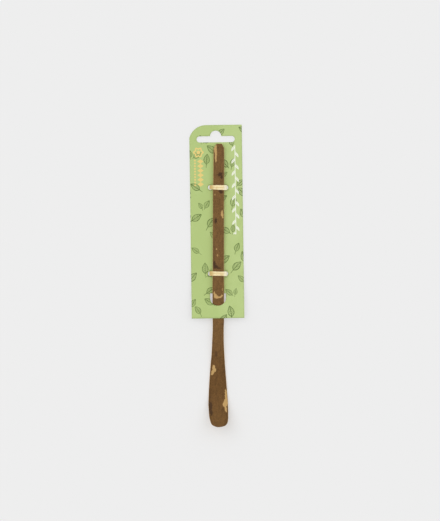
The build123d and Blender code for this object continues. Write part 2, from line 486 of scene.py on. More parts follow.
@dataclass(frozen=True)
class BambooSkin:
    """The culm's mottled outer skin: dark brown, satin, with pale scrapes and dark stains, painted shade
    down the blade and along the edges, and painted light at the tip.
    """

    layout: Layout
    handle: Colour = linear(116, 85, 48)
    # Painted shade and light: the blade's skin is darker than the handle's as painted shade, and the tip's
    # is lighter again as painted light where it curls up.
    blade: Colour = linear(105, 74, 38)
    tip: Colour = linear(111, 80, 43)
    scraped: Colour = linear(193, 157, 101)
    stain: Colour = linear(66, 45, 27)
    specular: float = 0.12
    roughness: float = 0.46
    scraped_roughness: float = 0.62
    blade_painted_shade_run: Span = (118.0, 148.0)
    tip_run: Span = (160.0, 174.0)
    fibres: Grain = Grain(5.0, 4.0, 0.035)
    fibre_tones: Span = (0.89, 1.11)
    streaks: Grain = Grain(1.3, 3.0, 0.05, 0.30)
    mottle: Grain = Grain(0.55, 5.0, 0.5, 0.80)
    speckle: Grain = Grain(1.9, 3.0, 0.6, 1.20)
    pores: Grain = Grain(9.0, 2.0, 0.3, 0.25)
    # Painted shade: the skin darkens towards its long edges, where its crown turns away from the light.
    rim_painted_shade_run: Span = (0.72, 1.0)
    rim_painted_shade: float = 0.20
    ragged: Grain = Grain(1.1)
    ragged_reach: tuple = (1.3, 2.2, 0.0)
    stain_soft: float = 0.32
    stain_opacity: float = 0.9
    scraped_soft: float = 0.09
    scraped_tones: Span = (0.80, 1.15)
    scraped_depth: float = 0.9
    relief: Relief = Relief(0.05, 0.6)

    def flecks(self, shader: Shader, point: Socket, kind: Fleck, soft: float) -> Socket:
        """Where the skin's marks of one kind are, from 0 to 1.

        Args:
            shader: The material under construction.
            point: The shaded place, in millimetres.
            kind: Which marks.
            soft: How soft their edges are, as a share of their size.

        Returns:
            The share of the mark at that place.
        """
        shares = []
        for mark in (m for m in MARKS if m.kind is kind):
            sockets = {
                "Vector": point,
                "Location": (mark.across, mark.down, 0.0),
                "Rotation": (0.0, 0.0, math.radians(mark.turn)),
                "Scale": (mark.half_width, mark.half_length, mark.half_height),
            }
            oval = shader.node("Mapping", sockets, vector_type="TEXTURE").outputs["Vector"]
            radius = shader.vector("LENGTH", oval)
            shares.append(shader.ramp(radius, 1 + soft, 1 - soft, 0.0, mark.opacity))
        return shader.largest(*shares)

    def material(self) -> bpy.types.Material:
        """Builds the skin's material.

        Returns:
            The material.
        """
        shader = Shader("bamboo_skin", self.specular)
        point = shader.place(self.layout)
        strip = shader.layer("strip")
        down = shader.split(point)[1]
        # Painted shade down the blade and painted light at the tip, blended over the handle's colour.
        base = shader.blend(shader.ramp(down, *self.blade_painted_shade_run), self.handle, self.blade)
        base = shader.blend(shader.ramp(down, *self.tip_run), base, self.tip)
        fibres = shader.grain(strip, self.fibres)
        tone = shader.spread(fibres, self.fibre_tones)
        for grain in (self.streaks, self.mottle, self.speckle):
            tone = shader.swing(strip, grain, tone)
        # Painted shade along the skin's long edges.
        rim = shader.ramp(shader.layer("rim", "Fac"), *self.rim_painted_shade_run)
        tone = shader.math("MULTIPLY_ADD", rim, -self.rim_painted_shade, tone)
        ragged = shader.astray(point, self.ragged, self.ragged_reach)
        stained = self.flecks(shader, ragged, Fleck.STAIN, self.stain_soft)
        stained = shader.product(stained, self.stain_opacity)
        colour = shader.blend(stained, shader.toned(base, tone), self.stain)
        scraped = self.flecks(shader, ragged, Fleck.SCRAPED, self.scraped_soft)
        flesh = shader.toned(self.scraped, shader.spread(fibres, self.scraped_tones))
        shader.give("Base Color", shader.blend(scraped, colour, flesh))
        rough = shader.ramp(scraped, 0.0, 1.0, self.roughness, self.scraped_roughness)
        shader.give("Roughness", rough)
        height = shader.math("MULTIPLY_ADD", scraped, -self.scraped_depth, fibres)
        pores = shader.grain(strip, self.pores)
        height = shader.math("MULTIPLY_ADD", pores, self.pores.strength, height)
        shader.press(height, self.relief)
        return shader.material


@dataclass(frozen=True)
class BambooFlesh:
    """The pale flesh on the flanks and the back, scraped lengthwise with a knife."""

    pale: Colour = linear(208, 172, 116)
    fibre: Colour = linear(160, 118, 70)
    specular: float = 0.3
    roughness: Span = (0.70, 0.52)
    strands: Grain = Grain(4.0, 3.0, 0.03)
    strand_run: Span = (0.46, 0.64)
    gloss_run: Span = (0.3, 0.7)
    cloud: Grain = Grain(0.5, 4.0, 0.12)
    cloud_run: Span = (0.35, 0.75)
    cloud_opacity: float = 0.35
    relief: Relief = Relief(0.06, 0.7)

    def material(self) -> bpy.types.Material:
        """Builds the flesh's material.

        Returns:
            The material.
        """
        shader = Shader("bamboo_flesh", self.specular)
        strip = shader.layer("strip")
        strands = shader.grain(strip, self.strands)
        cloud = shader.grain(strip, self.cloud)
        colour = shader.blend(shader.ramp(strands, *self.strand_run), self.pale, self.fibre)
        cloudy = shader.ramp(cloud, *self.cloud_run, 0.0, self.cloud_opacity)
        shader.give("Base Color", shader.blend(cloudy, colour, self.fibre))
        shader.give("Roughness", shader.ramp(strands, *self.gloss_run, *self.roughness))
        shader.press(strands, self.relief)
        return shader.material


class Corner(NamedTuple):
    """A point on the outline of a cut across the scoop.

    The rim is 0 at the skin's middle and 1 at its edges and on the flanks, and skin tells whether
    the run to the next point is skin.
    """

    across: float
    height: float
    rim: float
    skin: bool


@dataclass(frozen=True)
class Edge:
    """One long edge of the scoop, as curves of half width over the place down."""

    run: list[Point]
    tip: list[Point]
    facet: Point

    def half_width(self, down: float) -> float:
        """How far the edge lies from the centre line at a place down the scoop.

        Args:
            down: The place down from the cut end.

        Returns:
            The half width, trimmed by the cut end's facet and by the round of the tip.
        """
        width = read_off(self.run, down)
        facet_across, facet_down = self.facet
        if down < facet_down:
            end = read_off(self.run, 0.0) - facet_across
            width = min(width, end + facet_across * down / facet_down)
        if down > self.tip[0][0]:
            width = min(width, read_off(self.tip, down))
        return width


@dataclass
class Scoop:
    """The scoop: one split strip of bamboo, its blade thinned and bent up by heat."""

    layout: Layout
    handle_length: float = 118.0
    blade_length: float = 61.6
    handle_width: float = 7.15
    waist_width: float = 7.08
    blade_width: float = 12.75
    handle_thickness: float = 2.20
    blade_thickness: float = 1.20
    skin_crown: float = 0.30
    full_crown_half_width: float = 3.0
    handle_bevel: float = 0.55
    blade_bevel: float = 0.30
    back_height: float = 1.48
    drop_start: float = 112.7
    heel_before_tip: float = 30.0
    curl_before_tip: float = 24.0
    curl_radius: float = 33.0
    curl_angle: float = 39.0
    edge_ease: float = 0.28
    end_ease: float = 0.12
    least_width: float = 0.05
    left_facet: Point = (1.65, 2.9)
    right_facet: Point = (1.40, 2.8)
    handle_down_shares: tuple = (0.0, 0.07, 0.14, 0.30, 0.45, 0.60, 0.70, 0.80, 0.88, 0.955)
    handle_left_shares: tuple = (0.83, 0.88, 0.91, 0.97, 0.99, 1.01, 1.025, 1.055, 1.035, 1.02)
    handle_right_shares: tuple = (1.02, 1.03, 1.03, 1.00, 1.00, 1.00, 1.00, 1.01, 1.01, 1.00)
    waist_left_share: float = 1.035
    waist_right_share: float = 0.965
    blade_down_shares: tuple = (0.13, 0.25, 0.37, 0.50, 0.62, 0.77, 0.88, 1.1)
    blade_left_shares: tuple = (0.125, 0.26, 0.51, 0.725, 0.88, 1.0, 1.0, 1.0)
    blade_right_shares: tuple = (0.02, 0.14, 0.285, 0.50, 0.70, 0.91, 0.97, 1.0)
    tip_across_shares: tuple = (
        -1.03, -0.963, -0.910, -0.787, -0.624, -0.314, -0.031, 0.314, 0.607, 0.792, 0.933, 0.991, 1.03
    )
    tip_back_shares: tuple = (
        0.27, 0.166, 0.104, 0.053, 0.0225, 0.006, 0.0, 0.0035, 0.0115, 0.0245, 0.049, 0.094, 0.17
    )
    edge_limit_share: float = 0.4
    edge_steps: int = 12
    tip_edge_steps: int = 24
    fine_step: float = 0.5
    tip_steps: int = 44
    skin_points: int = 15
    back_points: int = 9
    ease_turns: tuple = (24.0, 48.0, 69.0)
    left: Edge = field(init=False)
    right: Edge = field(init=False)

    def __post_init__(self) -> None:
        """Works out the left and right edges."""
        tip = [
            (self.length - self.blade_length * back, self.blade_width / 2 * across)
            for across, back in zip(self.tip_across_shares, self.tip_back_shares)
        ]
        lowest = self.tip_back_shares.index(min(self.tip_back_shares))
        left_tip = curve_through(tip[:lowest + 1], self.tip_edge_steps)
        left_tip = [(down, -across) for down, across in left_tip]
        right_tip = sorted(curve_through(tip[lowest:], self.tip_edge_steps))
        left_run = self.edge_run(self.handle_left_shares, self.waist_left_share, self.blade_left_shares)
        right_run = self.edge_run(
            self.handle_right_shares, self.waist_right_share, self.blade_right_shares
        )
        self.left = Edge(left_run, left_tip, self.left_facet)
        self.right = Edge(right_run, right_tip, self.right_facet)

    @property
    def length(self) -> float:
        """The whole length, seen from the front."""
        return self.handle_length + self.blade_length

    def edge_run(self, handle: Sequence[float], waist: float, blade: Sequence[float]) -> list[Point]:
        """Draws one long edge, still without its facet and the round of the tip.

        Args:
            handle: The half widths down the handle, as shares of half the handle's width.
            waist: The half width at the waist, as a share of half the waist's width.
            blade: How far the edge has flared down the blade, from 0 at the waist to 1.

        Returns:
            The curve of half width over the place down.
        """
        waist_half = self.waist_width / 2 * waist
        points = [
            (self.handle_length * down, self.handle_width / 2 * share)
            for down, share in zip(self.handle_down_shares, handle)
        ]
        points.append((self.handle_length, waist_half))
        points += [
            (self.handle_length + self.blade_length * down, mix(waist_half, self.blade_width / 2, share))
            for down, share in zip(self.blade_down_shares, blade)
        ]
        return curve_through(points, self.edge_steps)

    def back(self, down: float) -> tuple[float, float]:
        """Height and slope of the scoop's back at a place down from its cut end.

        Args:
            down: The place down from the cut end.

        Returns:
            The height over the table, and the slope in radians.
        """
        if down <= self.drop_start:
            return self.back_height, 0.0
        drop = self.length - self.heel_before_tip - self.drop_start
        share = (down - self.drop_start) / drop
        if share < 1:
            slope = -self.back_height * 6 * share * (1 - share) / drop
            return self.back_height * (1 - smooth(share)), math.atan(slope)
        run = max(down - self.length + self.curl_before_tip, 0.0)
        turn = math.radians(self.curl_angle)
        bend = min(run, self.curl_radius * math.sin(turn))
        rise = self.curl_radius - math.sqrt(self.curl_radius**2 - bend**2)
        return rise + (run - bend) * math.tan(turn), math.asin(bend / self.curl_radius)

    def thinning(self, down: float) -> float:
        """How far the strip is thinned from handle to blade at a place down, from 0 to 1."""
        return smooth((down - self.handle_length) / (self.blade_length - self.curl_before_tip))

    def section(self, down: float, inset: float) -> list[Corner]:
        """One cut across the scoop.

        Args:
            down: The place down from the cut end.
            inset: How far the whole outline is drawn in, for the eased edge of an end.

        Returns:
            The outline: skin, right side, back and left side.
        """
        left = self.left.half_width(down) - inset
        right = self.right.half_width(down) - inset
        left, right = max(left, self.least_width - right), max(right, self.least_width - left)
        half = (left + right) / 2
        height, slope = self.back(down)
        thin = self.thinning(down)
        thick = mix(self.handle_thickness, self.blade_thickness, thin) / math.cos(slope)
        bevel = min(mix(self.handle_bevel, self.blade_bevel, thin), half * self.edge_limit_share)
        ease = min(self.edge_ease, half * self.edge_limit_share)
        crown = self.skin_crown * min(1.0, half / self.full_crown_half_width) ** 2
        low, high = height + inset, height + thick - inset
        flank = high - crown - ease
        skin, back = [], []
        for i in range(self.skin_points):
            share = -math.cos(math.pi * i / (self.skin_points - 1))
            across = (right - left) / 2 + share * (half - ease)
            skin.append(Corner(across, high - crown * share**2, abs(share), True))
        turns = [math.radians(turn) for turn in self.ease_turns]
        side = [(ease * (1 - math.sin(turn)), flank + ease * math.cos(turn)) for turn in turns]
        side += [(0.0, mix(flank, low + bevel, share)) for share in (0.0, 0.5, 1.0)]
        side.append((bevel / 2, low + bevel / 2))
        right_side = [Corner(right - inward, level, 1.0, False) for inward, level in side]
        left_side = [Corner(inward - left, level, 1.0, False) for inward, level in reversed(side)]
        left_side[-1] = left_side[-1]._replace(skin=True)
        for i in range(self.back_points):
            across = mix(right - bevel, bevel - left, i / (self.back_points - 1))
            back.append(Corner(across, low, 0.0, False))
        return skin + right_side + back + left_side

    def places(self) -> list[tuple[float, float]]:
        """Spaces the sections evenly down the scoop, and closer and closer round its tip.

        Returns:
            The place down and the inset of each section, from the cut end to the tip.
        """
        facets = {self.left_facet[1], self.right_facet[1]}
        fine_end = self.length - self.blade_length * self.tip_back_shares[0]
        count = round(fine_end / self.fine_step)
        even = {fine_end * i / count for i in range(1, count)}
        out = [(0.0, self.end_ease), (self.end_ease, 0.0)]
        out += [(down, 0.0) for down in sorted(even | facets) if down > 2 * self.end_ease]
        run = self.length - fine_end
        for i in range(self.tip_steps):
            out.append((fine_end + run * math.sin(math.pi / 2 * i / self.tip_steps), 0.0))
        out.append((self.length, 0.0))
        return out

    def build(self) -> bpy.types.Object:
        """Builds the scoop's mesh, dresses it and stands it in for the plain one.

        Returns:
            The scoop.
        """
        bm = bmesh.new()
        rim = bm.verts.layers.float.new("rim")
        strip = bm.verts.layers.float_vector.new("strip")
        rings = []
        run, last = 0.0, (0.0, self.back_height)
        for down, inset in self.places():
            level = self.back(down)[0]
            run += math.dist(last, (down, level))
            last = (down, level)
            corners = self.section(down, inset)
            ring = []
            for corner in corners:
                vert = bm.verts.new(self.layout.point(corner.across, down, corner.height))
                vert[rim] = corner.rim
                vert[strip] = (corner.across, run, corner.height - level)
                ring.append(vert)
            rings.append(ring)
        for upper, lower in zip(rings, rings[1:]):
            for i, corner in enumerate(corners):
                j = (i + 1) % len(corners)
                face = bm.faces.new((upper[i], upper[j], lower[j], lower[i]))
                face.material_index = (Surface.SKIN if corner.skin else Surface.FLESH).value
                face.smooth = True
        for ring in (rings[0][::-1], rings[-1]):
            bm.faces.new(ring).material_index = Surface.FLESH.value
        bmesh.ops.recalc_face_normals(bm, faces=bm.faces)
        scoop = finished("bamboo_scoop", bm)
        scoop.data.materials.append(BambooSkin(self.layout).material())
        scoop.data.materials.append(BambooFlesh().material())
        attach(scoop, "scoop")
        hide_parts("scoop")
        return scoop


@dataclass(frozen=True)
class Leaf:
    """One printed leaf: its stalk's foot, its whole length, and its turn from upright in degrees."""

    foot: Point
    length: float
    turn: float
    bend: float
    stalk_share: float = 0.24
    oval_middle_share: float = 0.35
    oval_length_share: float = 0.65
    oval_width_share: float = 0.28

    def local(self, place: Point) -> Point:
        """Where a place lies on the leaf, along from the blade's base to its tip and aside.

        Args:
            place: The place, across and down.

        Returns:
            The place along, 0 to 1 on the blade, and the place aside, in blade lengths.
        """
        radians = math.radians(self.turn)
        along_x, along_y = math.sin(radians), -math.cos(radians)
        x, y = place[0] - self.foot[0], place[1] - self.foot[1]
        stalk = self.length * self.stalk_share
        blade = self.length - stalk
        return (x * along_x + y * along_y - stalk) / blade, (y * along_x - x * along_y) / blade

    def apart(self, place: Point) -> float:
        """How far a place is from the leaf, by an oval about it that grows to reach the place.

        Args:
            place: The place, across and down.

        Returns:
            The oval's size, which is the leaf's length for an oval that just holds the leaf.
        """
        along, aside = self.local(place)
        along = (along - self.oval_middle_share) / self.oval_length_share
        return math.hypot(along, aside / self.oval_width_share) * self.length


@dataclass(frozen=True)
class Strewing:
    """How the printed leaves are strewn: in a half drop, each placed, sized and turned by a wave."""

    first: Point = (-18.5, -5.0)
    columns: int = 5
    rows: int = 10
    column_pitch: float = 9.2
    row_pitch: float = 13.6
    wander: float = 1.5
    length: float = 8.6
    length_spread: float = 1.3
    turn_spread: float = 58.0
    bend: float = 0.12
    bend_beat: float = 3.0
    across_beat: float = 2.4
    down_beat: float = 1.7
    length_beat: float = 3.7
    turn_beat: float = 1.9
    twin_every: int = 3
    twin_turn: float = 62.0
    twin_share: float = 0.76

    def leaf(self, foot: Point, length: float, turn: float) -> Leaf:
        """One leaf, bent more or less by its turn."""
        return Leaf(foot, length, turn, self.bend * math.sin(self.bend_beat * math.radians(turn)))

    def leaves(self) -> list[Leaf]:
        """Strews the leaves over the whole card and past its edges.

        Returns:
            The leaves, most of them single, some in pairs from one foot.
        """
        out = []
        for column in range(self.columns):
            for row in range(self.rows):
                number = self.rows * column + row
                across = self.first[0] + column * self.column_pitch
                across += self.wander * math.sin(self.across_beat * number)
                down = self.first[1] + (row + column % 2 / 2) * self.row_pitch
                down += self.wander * math.sin(self.down_beat * number)
                length = self.length + self.length_spread * math.sin(self.length_beat * number)
                turn = self.turn_spread * math.sin(self.turn_beat * number + column)
                out.append(self.leaf((across, down), length, turn))
                if number % self.twin_every == 1:
                    turn -= math.copysign(self.twin_turn, turn)
                    out.append(self.leaf((across, down), length * self.twin_share, turn))
        return out


@dataclass(frozen=True)
class LeafDrawing:
    """How a printed leaf is drawn, with its lines' sizes as shares of its blade's length."""

    fullness: Span = (1.36, 0.74)
    rim: Line = Line(0.026, 0.008)
    rib: Line = Line(0.023, 0.007)
    rib_end: float = 0.96
    veins: float = 6.0
    vein: Line = Line(0.11, 0.04)
    vein_slant: float = 0.9
    vein_opacity: float = 0.8

    def draw(self, shader: Shader) -> tuple[Socket, Socket]:
        """Draws the leaves, from the place on the leaf that each corner of the mesh holds.

        Args:
            shader: The material under construction.

        Returns:
            The ink of rim, midrib, veins and stalk, and the inside of the leaf, from 0 to 1.
        """
        along, aside, bend = shader.split(shader.layer("leaf"))
        bow = shader.product(along, shader.math("SUBTRACT", 1.0, along))
        away = shader.math("ABSOLUTE", shader.math("MULTIPLY_ADD", bow, bend, aside))
        width = shader.product(bow, shader.spread(along, self.fullness))
        blade = shader.between(along, 0.0, 1.0)
        inside = shader.product(blade, shader.math("LESS_THAN", away, width))
        rim = shader.product(shader.line(shader.apart(away, width), self.rim), blade)
        stalk = -Leaf.stalk_share / (1 - Leaf.stalk_share)
        rib = shader.product(shader.line(away, self.rib), shader.between(along, stalk, self.rib_end))
        slant = shader.math("MULTIPLY_ADD", away, -self.vein_slant, along)
        beat = shader.math("FRACT", shader.product(slant, self.veins))
        veins = shader.line(shader.apart(beat, 0.5), self.vein)
        veins = shader.product(veins, inside, self.vein_opacity)
        return shader.largest(rim, rib, veins), inside


@dataclass(frozen=True)
class Garland:
    """A slim garland of leaves down the card, its leaves' sizes as shares of their pitch."""

    across: float = 12.1
    run: Span = (13.0, 69.5)
    pitch: float = 3.9
    lean: float = 0.55
    belly: float = 0.215
    leaf: Line = Line(0.0, 0.015)
    vein_run: Span = (0.018, 0.030)
    vein_end: float = 0.72
    stem: Line = Line(0.0575, 0.0075)

    def draw(self, shader: Shader, across: Socket, down: Socket) -> Socket:
        """Draws the stem, and leaves to its left and right in turn.

        Args:
            shader: The material under construction.
            across: The place across the card.
            down: The place down the card.

        Returns:
            The ink, from 0 to 1.
        """
        aside = shader.math("DIVIDE", shader.math("SUBTRACT", across, self.across), self.pitch)
        steps = shader.math("DIVIDE", shader.math("SUBTRACT", down, self.run[0]), self.pitch)
        odd = shader.math("MODULO", shader.math("FLOOR", steps), 2.0)
        side = shader.spread(odd, (-1.0, 1.0))
        along = shader.math("FRACT", steps)
        rib = shader.math("MULTIPLY_ADD", along, -self.lean, shader.product(aside, side))
        away = shader.math("ABSOLUTE", rib)
        bow = shader.math("SINE", shader.product(along, math.pi))
        outside = shader.math("SUBTRACT", away, shader.product(bow, self.belly))
        filled = shader.math("GREATER_THAN", along, self.vein_end)
        filled = shader.largest(shader.ramp(away, *self.vein_run), filled)
        leaf = shader.product(shader.line(outside, self.leaf), filled)
        stem = shader.line(shader.math("ABSOLUTE", aside), self.stem)
        return shader.product(shader.largest(leaf, stem), shader.between(down, *self.run))


@dataclass(frozen=True)
class Gilding:
    """A round blossom over a column of lozenges and a column of dots."""

    bloom: Point = (-11.1, 17.3)
    petals: float = 6.0
    petal_radius: float = 2.5
    petal_swing: float = 0.40
    petal: Line = Line(0.52, 0.04)
    heart: Line = Line(1.16, 0.04)
    run: Span = (21.6, 39.0)
    lozenge_across: float = -9.9
    lozenge_pitch: float = 2.9
    lozenge_slimness: float = 0.72
    lozenge: Line = Line(1.46, 0.04)
    dot_across: float = -13.4
    dot_pitch: float = 1.74
    dot: Line = Line(0.58, 0.04)

    def off_beat(self, shader: Shader, down: Socket, pitch: float) -> Socket:
        """How far down a place lies from the nearest figure of a column."""
        beat = shader.math("PINGPONG", shader.math("SUBTRACT", down, self.run[0]), pitch / 2)
        return shader.math("SUBTRACT", pitch / 2, beat)

    def draw(self, shader: Shader, across: Socket, down: Socket) -> Socket:
        """Draws the blossom and the two columns.

        Args:
            shader: The material under construction.
            across: The place across the card.
            down: The place down the card.

        Returns:
            The ink, from 0 to 1.
        """
        x = shader.math("SUBTRACT", across, self.bloom[0])
        y = shader.math("SUBTRACT", down, self.bloom[1])
        radius = shader.radius(x, y)
        turn = shader.product(shader.math("ARCTAN2", y, x), self.petals)
        wave = shader.math("COSINE", turn)
        petal = shader.math("MULTIPLY_ADD", wave, self.petal_swing, self.petal_radius)
        petal = shader.line(shader.apart(radius, petal), self.petal)
        bloom = shader.largest(petal, shader.line(radius, self.heart))
        aside = shader.product(shader.apart(across, self.lozenge_across), self.lozenge_slimness)
        lozenge = shader.math("ADD", aside, self.off_beat(shader, down, self.lozenge_pitch))
        lozenge = shader.line(lozenge, self.lozenge)
        aside = shader.math("SUBTRACT", across, self.dot_across)
        dot = shader.radius(aside, self.off_beat(shader, down, self.dot_pitch))
        dot = shader.line(dot, self.dot)
        columns = shader.product(shader.largest(lozenge, dot), shader.between(down, *self.run))
        return shader.largest(bloom, columns)


@dataclass(frozen=True)
class PrintedFront:
    """The board's front: a light green ground, line-drawn leaves, and two printed ornaments."""

    layout: Layout
    card_length: float
    card_middle: Point
    tilt: float
    ground: Colour = linear(180, 200, 129)
    ground_light: Colour = linear(187, 206, 138)
    ink: Colour = linear(74, 98, 38)
    gold: Colour = linear(231, 207, 128)
    white: Colour = linear(240, 243, 226)
    specular: float = 0.12
    roughness: float = 0.62
    gold_roughness: float = 0.38
    cloud: Grain = Grain(0.12, 2.0)
    paper: Grain = Grain(2.2, 4.0, strength=0.9)
    # Painted shade and light: the ground darker towards the card's left and a little lighter towards its
    # right.
    side_painted_shade_run: Span = (-2.0, 6.0)
    fade: Span = (-0.25, 0.10)
    shade_run: Span = (0.25, 0.75)
    patches: Grain = Grain(0.45, 2.0)
    patch_run: Span = (0.35, 0.6)
    patch_opacity: Span = (0.7, 1.0)
    wash_opacity: float = 0.12
    fibre: Grain = Grain(6.0)
    gold_rise: float = 0.4
    relief: Relief = Relief(0.02, 0.5)
    leaf: LeafDrawing = LeafDrawing()
    gilding: Gilding = Gilding()
    garland: Garland = Garland()

    def material(self) -> bpy.types.Material:
        """Builds the printed front's material.

        Returns:
            The material.
        """
        shader = Shader("printed_front", self.specular)
        point = shader.place(self.layout)
        sockets = {
            "Vector": point,
            "Location": (*self.card_middle, 0.0),
            "Rotation": (0.0, 0.0, -self.tilt),
        }
        on_card = shader.node("Mapping", sockets, vector_type="TEXTURE").outputs["Vector"]
        across, down, _ = shader.split(on_card)
        down = shader.math("ADD", down, self.card_length / 2)
        shade = shader.swing(point, self.paper, shader.grain(point, self.cloud))
        # Painted shade and light across the card, added to the paper's own tone.
        shade = shader.math("ADD", shade, shader.ramp(across, *self.side_painted_shade_run, *self.fade))
        colour = shader.blend(shader.ramp(shade, *self.shade_run), self.ground, self.ground_light)
        patches = shader.ramp(shader.grain(point, self.patches), *self.patch_run, *self.patch_opacity)
        lines, inside = self.leaf.draw(shader)
        colour = shader.blend(shader.product(inside, self.wash_opacity), colour, self.ink)
        colour = shader.blend(shader.product(lines, patches), colour, self.ink)
        gold = self.gilding.draw(shader, across, down)
        colour = shader.blend(gold, colour, self.gold)
        white = self.garland.draw(shader, across, down)
        shader.give("Base Color", shader.blend(white, colour, self.white))
        shader.give("Roughness", shader.ramp(gold, 0.0, 1.0, self.roughness, self.gold_roughness))
        fibre = shader.grain(point, self.fibre)
        shader.press(shader.math("MULTIPLY_ADD", gold, self.gold_rise, fibre), self.relief)
        return shader.material


@dataclass(frozen=True)
class PlainBoard:
    """The board's unprinted back, or the core that shows along its cut edges."""

    layout: Layout
    name: str
    light: Colour
    dark: Colour
    fibre: Grain
    specular: float = 0.2
    roughness: float = 0.8
    fibre_run: Span = (0.35, 0.7)
    relief: Relief = Relief(0.03, 0.5)

    def material(self) -> bpy.types.Material:
        """Builds the board's material.

        Returns:
            The material.
        """
        shader = Shader(self.name, self.specular)
        fibre = shader.grain(shader.place(self.layout), self.fibre)
        shader.give("Base Color", shader.blend(shader.ramp(fibre, *self.fibre_run), self.light, self.dark))
        shader.give("Roughness", self.roughness)
        shader.press(fibre, self.relief)
        return shader.material


@dataclass
class HangCard:
    """The hang card: one printed board, bowed at its foot over the scoop."""

    layout: Layout
    length: float = 122.70
    width: float = 33.40
    thickness: float = 0.40
    back_height: float = 1.00
    above_handle: float = 12.00
    offset: float = -1.03
    tilt: float = math.radians(0.78)
    corner_radius: float = 11.00
    corner_run: float = 10.60
    slot_width: float = 24.20
    slot_height: float = 3.90
    slot_below_top: float = 7.10
    peg_radius: float = 3.50
    hole_radius: float = 1.50
    hole_pitch: float = 9.85
    holes_offset: float = -0.22
    tie_downs: tuple = (UPPER_TIE_DOWN, LOWER_TIE_DOWN)
    passage_width: float = 10.10
    passage_top: float = 94.90
    passage_foot: float = 102.70
    bow_above_passage: float = 9.60
    side_lift: float = 2.30
    side_lift_overrun: float = 2.00
    bridge_height: float = 2.80
    bridge_flat: float = 7.80
    bridge_fade: float = 23.00
    bridge_full_share: float = 0.92
    corner_steps: int = 20
    slot_end_steps: int = 16
    notch_steps: int = 24
    hole_steps: int = 24
    passage_steps: int = 30
    edge_step: float = 1.0
    grid_step: float = 1.2
    grid_overrun: Point = (2.0, 1.0)
    grid_clearance_share: float = 0.75
    merge_distance: float = 1e-6
    smallest_face: float = 0.01
    back_tones: tuple = (linear(240, 239, 234), linear(230, 228, 220))
    core_tones: tuple = (linear(236, 237, 226), linear(214, 216, 196))
    leaves: list[Leaf] = field(default_factory=Strewing().leaves)

    @property
    def middle(self) -> Point:
        """The card's middle, across and down."""
        return self.offset, self.length / 2 - self.above_handle

    def on_card(self, x: float, y: float) -> Point:
        """A place across and down, from one about the card's own middle with y up."""
        cos, sin = math.cos(self.tilt), math.sin(self.tilt)
        return self.middle[0] + x * cos - y * sin, self.middle[1] - x * sin - y * cos

    def lift(self, across: float, down: float) -> float:
        """How far the foot's bow lifts the board.

        Args:
            across: The place across.
            down: The place down.

        Returns:
            The lift there: at the middle that of the bridge over the scoop, at the sides less.
        """
        start = self.passage_top - self.bow_above_passage
        end = self.length - self.above_handle + self.side_lift_overrun
        side = self.side_lift * smooth((down - start) / (end - start))
        radius = self.passage_width / 2
        full = self.passage_foot - radius + radius * self.bridge_full_share
        bridge = self.bridge_height * smooth((down - self.passage_top) / (full - self.passage_top))
        near = (abs(across) - self.bridge_flat / 2) / ((self.bridge_fade - self.bridge_flat) / 2)
        return mix(side, bridge, 1 - smooth(near))

    def outline(self) -> list[Point]:
        """Draws the card's outline about its own middle, with its one round corner.

        Returns:
            The outline's points.
        """
        left, right = -self.width / 2, self.width / 2
        foot, top = -self.length / 2, self.length / 2
        centre = (left + self.corner_run, top - self.corner_radius)
        start = 180 - math.degrees(math.acos(self.corner_run / self.corner_radius))
        corner = arc(centre, self.corner_radius, start, 90, self.corner_steps)
        return corner + [(right, top), (right, foot), (left, foot)]

    def slot(self) -> list[Point]:
        """Draws the hang slot about the card's middle: round ends, and a round notch for a peg.

        Returns:
            The slot's points.
        """
        top = self.length / 2 - self.slot_below_top
        radius = self.slot_height / 2
        reach = self.slot_width / 2 - radius
        right = arc((reach, top - radius), radius, -90, 90, self.slot_end_steps)
        notch = arc((0.0, top), self.peg_radius, 0, 180, self.notch_steps)
        left = arc((-reach, top - radius), radius, 90, 270, self.slot_end_steps)
        return right + notch + left

    def passage(self) -> list[Point]:
        """Draws the scoop's passage across and down: a straight top and a round foot.

        Returns:
            The passage's points.
        """
        radius = self.passage_width / 2
        left, right = self.holes_offset - radius, self.holes_offset + radius
        foot = arc((self.holes_offset, self.passage_foot - radius), radius, 0, 180, self.passage_steps)
        return foot + [(left, self.passage_top), (right, self.passage_top)]

    def loops(self) -> list[list[Point]]:
        """Draws all cut edges across and down.

        Returns:
            The closed loops, the outline first.
        """
        loops = [[self.on_card(*p) for p in loop] for loop in (self.outline(), self.slot())]
        for down in self.tie_downs:
            for side in (-1, 1):
                centre = (self.holes_offset + side * self.hole_pitch / 2, down)
                loops.append(arc(centre, self.hole_radius, 0, 360, self.hole_steps)[:-1])
        loops.append(self.passage())
        return [self.stepped(loop) for loop in loops]

    def stepped(self, loop: list[Point]) -> list[Point]:
        """Cuts the long runs of a closed loop into short ones.

        Args:
            loop: The loop's points.

        Returns:
            The points, with new ones between them.
        """
        out = []
        for start, end in zip(loop, loop[1:] + loop[:1]):
            count = max(1, round(math.dist(start, end) / self.edge_step))
            out += [tuple(mix(start[a], end[a], i / count) for a in (0, 1)) for i in range(count)]
        return out

    def grid(self, loops: list[list[Point]]) -> list[Point]:
        """Spreads places evenly over the board, a little away from its edges.

        Args:
            loops: The board's cut edges.

        Returns:
            The places across and down.
        """
        rim = [place for loop in loops for place in loop]
        clear = self.edge_step * self.grid_clearance_share
        side, end = self.grid_overrun
        half = self.width / 2 + side
        out = []
        for row in range(int((self.length + 2 * end) / self.grid_step) + 1):
            down = row * self.grid_step - self.above_handle - end
            shift = self.grid_step / 2 * (row % 2)
            for column in range(int(2 * half / self.grid_step) + 1):
                across = column * self.grid_step - half + shift + self.offset
                near = any(abs(across - x) + abs(down - y) < clear for x, y in rim)
                if not near and encloses(loops, (across, down)):
                    out.append((across, down))
        return out

